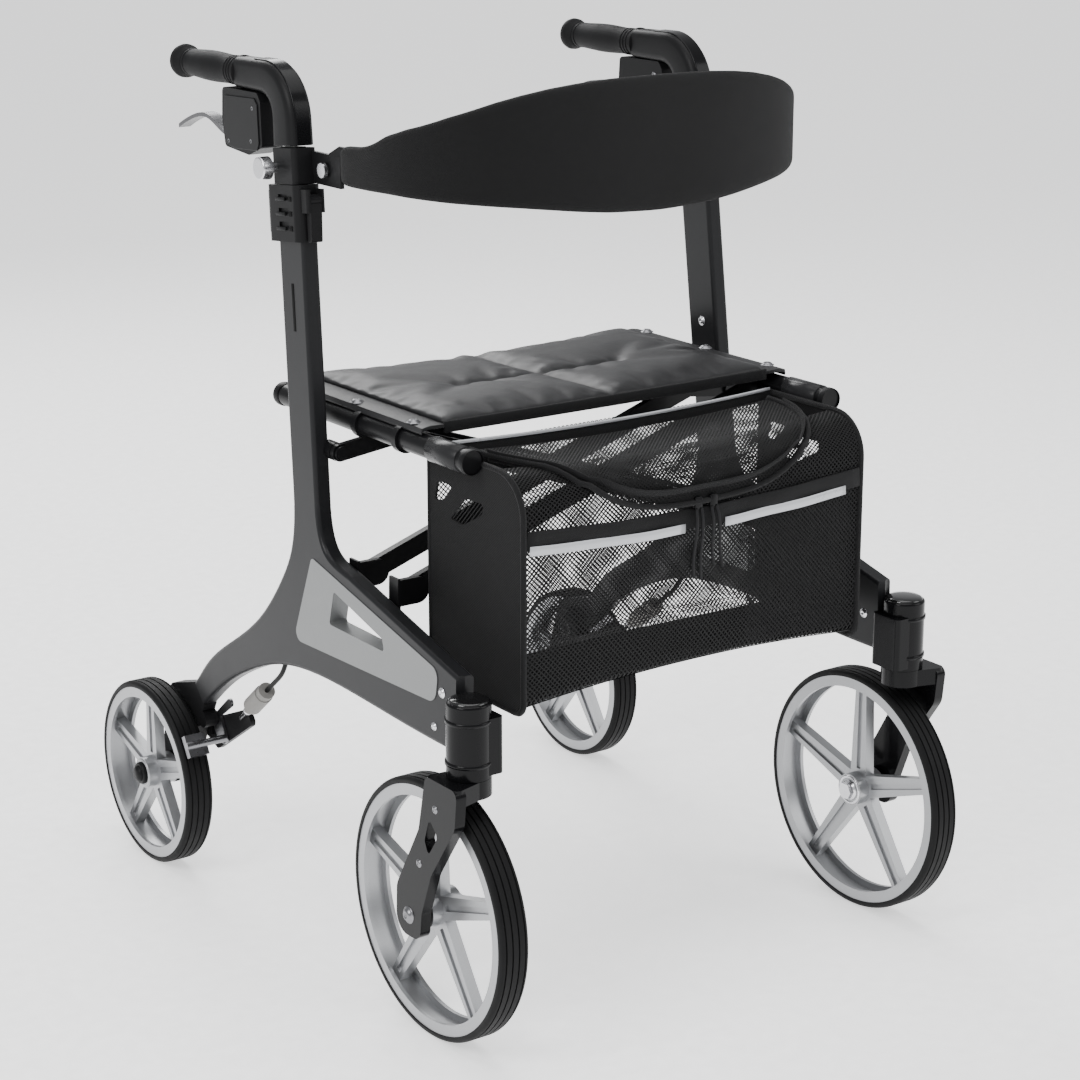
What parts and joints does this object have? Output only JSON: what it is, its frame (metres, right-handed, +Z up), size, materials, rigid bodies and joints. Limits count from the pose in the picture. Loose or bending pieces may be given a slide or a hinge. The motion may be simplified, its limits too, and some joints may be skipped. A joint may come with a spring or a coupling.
{
  "type": "rollator walker",
  "caption": "Folding four-wheeled walker with an X-brace, padded seat and backrest, front bag, height-adjustable handles and hand brakes.",
  "frame": {"origin": "on the floor under the middle of the open walker", "axes": "+Z up, -Y the walking direction (front), +X the user's left"},
  "size_m": [0.6126, 0.761, 0.8839],
  "materials": {
    "frame_plastic": "satin dark grey, moulded in one with the post",
    "trim_silver": "silver-grey satin",
    "black_gloss": "gloss black moulding",
    "bright_metal": "bright zinc",
    "rim_silver": "silver satin",
    "tyre_rubber": "soft black rubber",
    "black_plastic": "fine-grained black",
    "grey_plastic": "warm grey",
    "cable_black": "smooth black sleeve",
    "stem_black": "satin black",
    "neck_plastic": "black with a gloss front band",
    "grip_rubber": "matt ribbed black",
    "lever_metal": "satin grey",
    "rail_black": "satin black tube",
    "bar_black": "satin black",
    "seat_vinyl": "black grained vinyl",
    "bag_fabric": "black woven fabric and open mesh",
    "bag_stripe": "light grey reflective tape",
    "band_fabric": "black knitted face over foam"
  },
  "bodies": {
    "right_side": {"right_side_frame": "frame_plastic", "right_frame_trim": "trim_silver", "right_head_tube": "black_gloss", "right_wheel_arm": "black_plastic", "right_rear_axle": "black_plastic", "right_cable_adjuster": "grey_plastic", "right_brake_cable": "cable_black", "right_collar": "black_plastic", "right_frame_lugs": "bar_black"},
    "right_fork": {"right_fork": "black_gloss", "right_front_axle": "bright_metal"},
    "right_front_wheel": {"right_front_rim": "rim_silver", "right_front_tyre": "tyre_rubber"},
    "right_rear_wheel": {"right_rear_rim": "rim_silver", "right_rear_tyre": "tyre_rubber"},
    "right_brake": {"right_brake_arm": "bright_metal"},
    "right_clamp": {"right_clamp_lever": "black_plastic"},
    "right_handle": {"right_handle_stem": "stem_black", "right_handle_neck": "neck_plastic", "right_handle_block": "black_plastic", "right_grip": "grip_rubber", "right_lever_housing": "black_plastic", "backrest_band": "band_fabric"},
    "right_lever": {"right_brake_lever": "lever_metal"},
    "right_knob": {"right_thumb_knob": "bright_metal"},
    "right_button": {"right_strap_button": "bright_metal"},
    "right_rail": {"right_seat_rail": "rail_black", "seat_pad": "seat_vinyl", "bag_body": "bag_fabric"},
    "right_link": {"right_fold_link": "bar_black"},
    "left_side": {"left_side_frame": "frame_plastic", "left_frame_trim": "trim_silver", "left_head_tube": "black_gloss", "left_wheel_arm": "black_plastic", "left_rear_axle": "black_plastic", "left_cable_adjuster": "grey_plastic", "left_brake_cable": "cable_black", "left_collar": "black_plastic", "left_frame_lugs": "bar_black"},
    "left_fork": {"left_fork": "black_gloss", "left_front_axle": "bright_metal"},
    "left_front_wheel": {"left_front_rim": "rim_silver", "left_front_tyre": "tyre_rubber"},
    "left_rear_wheel": {"left_rear_rim": "rim_silver", "left_rear_tyre": "tyre_rubber"},
    "left_brake": {"left_brake_arm": "bright_metal"},
    "left_clamp": {"left_clamp_lever": "black_plastic"},
    "left_handle": {"left_handle_stem": "stem_black", "left_handle_neck": "neck_plastic", "left_handle_block": "black_plastic", "left_grip": "grip_rubber", "left_lever_housing": "black_plastic"},
    "left_lever": {"left_brake_lever": "lever_metal"},
    "left_knob": {"left_thumb_knob": "bright_metal"},
    "left_button": {"left_strap_button": "bright_metal"},
    "left_rail": {"left_seat_rail": "rail_black"},
    "left_link": {"left_fold_link": "bar_black"},
    "bag_lid": {"bag_lid": "bag_fabric"},
    "bar_a": {"cross_bar_a": "bar_black"},
    "bar_b": {"cross_bar_b": "bar_black"}
  },
  "joints": [
    {"name": "fold", "type": "hinge", "parent": "right_side", "child": "bar_a", "pos_m": [-0.215, -0.1, 0.402], "axis": [0, -1, 0], "range_deg": [0, 53], "deforming": ["seat_pad", "bag_body", "bag_lid", "backrest_band"]},
    {"name": "cross_pivot", "type": "hinge", "parent": "bar_a", "child": "bar_b", "pos_m": [0, -0.1, 0.4745], "axis": [0, -1, 0], "range_deg": [-106, 0]},
    {"name": "left_lower_pivot", "type": "hinge", "parent": "bar_b", "child": "left_side", "pos_m": [0.215, -0.1, 0.402], "axis": [0, -1, 0], "range_deg": [0, 53]},
    {"name": "right_rail_pivot", "type": "hinge", "parent": "bar_b", "child": "right_rail", "pos_m": [-0.215, -0.1, 0.547], "axis": [0, -1, 0], "range_deg": [0, 53]},
    {"name": "left_rail_pivot", "type": "hinge", "parent": "bar_a", "child": "left_rail", "pos_m": [0.215, -0.1, 0.547], "axis": [0, -1, 0], "range_deg": [-53, 0]},
    {"name": "right_link_pivot", "type": "hinge", "parent": "right_side", "child": "right_link", "pos_m": [-0.24, -0.048, 0.52], "axis": [0, -1, 0], "range_deg": [0, 74.46]},
    {"name": "left_link_pivot", "type": "hinge", "parent": "left_side", "child": "left_link", "pos_m": [0.24, -0.048, 0.52], "axis": [0, -1, 0], "range_deg": [-74.46, 0]},
    {"name": "bag_lid_hinge", "type": "hinge", "parent": "right_rail", "child": "bag_lid", "pos_m": [0, -0.186, 0.543], "axis": [-1, 0, 0], "range_deg": [0, 70]},
    {"name": "right_handle_height", "type": "slide", "parent": "right_side", "child": "right_handle", "axis": [0.0259, 0.0993, 0.9947], "range_m": [0, 0.12]},
    {"name": "right_clamp_turn", "type": "hinge", "parent": "right_side", "child": "right_clamp", "pos_m": [-0.2445, -0.01897, 0.76074], "axis": [0.9997, 0, -0.026], "range_deg": [-90, 0]},
    {"name": "right_brake_lever_turn", "type": "hinge", "parent": "right_handle", "child": "right_lever", "pos_m": [-0.24301, 0.108, 0.818], "axis": [1, 0, 0], "range_deg": [-8, 12], "stiffness_Nm_per_rad": 2},
    {"name": "right_brake_shoe_turn", "type": "hinge", "parent": "right_side", "child": "right_brake", "pos_m": [-0.259, 0.203, 0.178], "axis": [1, 0, 0], "range_deg": [-3, 4.5]},
    {"name": "right_knob_turn", "type": "hinge", "parent": "right_handle", "child": "right_knob", "pos_m": [-0.25682, 0.03, 0.787], "axis": [1, 0, 0], "continuous": true},
    {"name": "right_button_press", "type": "slide", "parent": "right_handle", "child": "right_button", "axis": [1, 0, 0], "range_m": [0, 0.002], "stiffness_N_per_m": 600},
    {"name": "right_rear_wheel_spin", "type": "hinge", "parent": "right_side", "child": "right_rear_wheel", "pos_m": [-0.2843, 0.2795, 0.101], "axis": [1, 0, 0], "continuous": true},
    {"name": "right_caster_swivel", "type": "hinge", "parent": "right_side", "child": "right_fork", "pos_m": [-0.2646, -0.306, 0.3], "axis": [0, 0, 1], "continuous": true},
    {"name": "right_front_wheel_spin", "type": "hinge", "parent": "right_fork", "child": "right_front_wheel", "pos_m": [-0.2646, -0.253, 0.1275], "axis": [1, 0, 0], "continuous": true},
    {"name": "left_handle_height", "type": "slide", "parent": "left_side", "child": "left_handle", "axis": [-0.0259, 0.0993, 0.9947], "range_m": [0, 0.12]},
    {"name": "left_clamp_turn", "type": "hinge", "parent": "left_side", "child": "left_clamp", "pos_m": [0.2445, -0.01897, 0.76074], "axis": [0.9997, 0, 0.026], "range_deg": [-90, 0]},
    {"name": "left_brake_lever_turn", "type": "hinge", "parent": "left_handle", "child": "left_lever", "pos_m": [0.24301, 0.108, 0.818], "axis": [1, 0, 0], "range_deg": [-8, 12], "stiffness_Nm_per_rad": 2},
    {"name": "left_brake_shoe_turn", "type": "hinge", "parent": "left_side", "child": "left_brake", "pos_m": [0.259, 0.203, 0.178], "axis": [1, 0, 0], "range_deg": [-3, 4.5]},
    {"name": "left_knob_turn", "type": "hinge", "parent": "left_handle", "child": "left_knob", "pos_m": [0.25682, 0.03, 0.787], "axis": [1, 0, 0], "continuous": true},
    {"name": "left_button_press", "type": "slide", "parent": "left_handle", "child": "left_button", "axis": [-1, 0, 0], "range_m": [0, 0.002], "stiffness_N_per_m": 600},
    {"name": "left_rear_wheel_spin", "type": "hinge", "parent": "left_side", "child": "left_rear_wheel", "pos_m": [0.2843, 0.2795, 0.101], "axis": [1, 0, 0], "continuous": true},
    {"name": "left_caster_swivel", "type": "hinge", "parent": "left_side", "child": "left_fork", "pos_m": [0.2646, -0.306, 0.3], "axis": [0, 0, 1], "continuous": true},
    {"name": "left_front_wheel_spin", "type": "hinge", "parent": "left_fork", "child": "left_front_wheel", "pos_m": [0.2646, -0.253, 0.1275], "axis": [1, 0, 0], "continuous": true}
  ],
  "couplings": [
    {"joint": "cross_pivot", "follows": "fold", "ratio": -2},
    {"joint": "left_lower_pivot", "follows": "fold", "ratio": 1},
    {"joint": "right_rail_pivot", "follows": "fold", "ratio": 1},
    {"joint": "left_rail_pivot", "follows": "fold", "ratio": -1},
    {"joint": "right_link_pivot", "follows": "fold", "ratio": 1.4047},
    {"joint": "left_link_pivot", "follows": "fold", "ratio": -1.4047},
    {"joint": "right_brake_shoe_turn", "follows": "right_brake_lever_turn", "ratio": 0.375},
    {"joint": "left_brake_shoe_turn", "follows": "left_brake_lever_turn", "ratio": 0.375},
    {"joint": "left_handle_height", "follows": "right_handle_height", "ratio": 1}
  ]
}
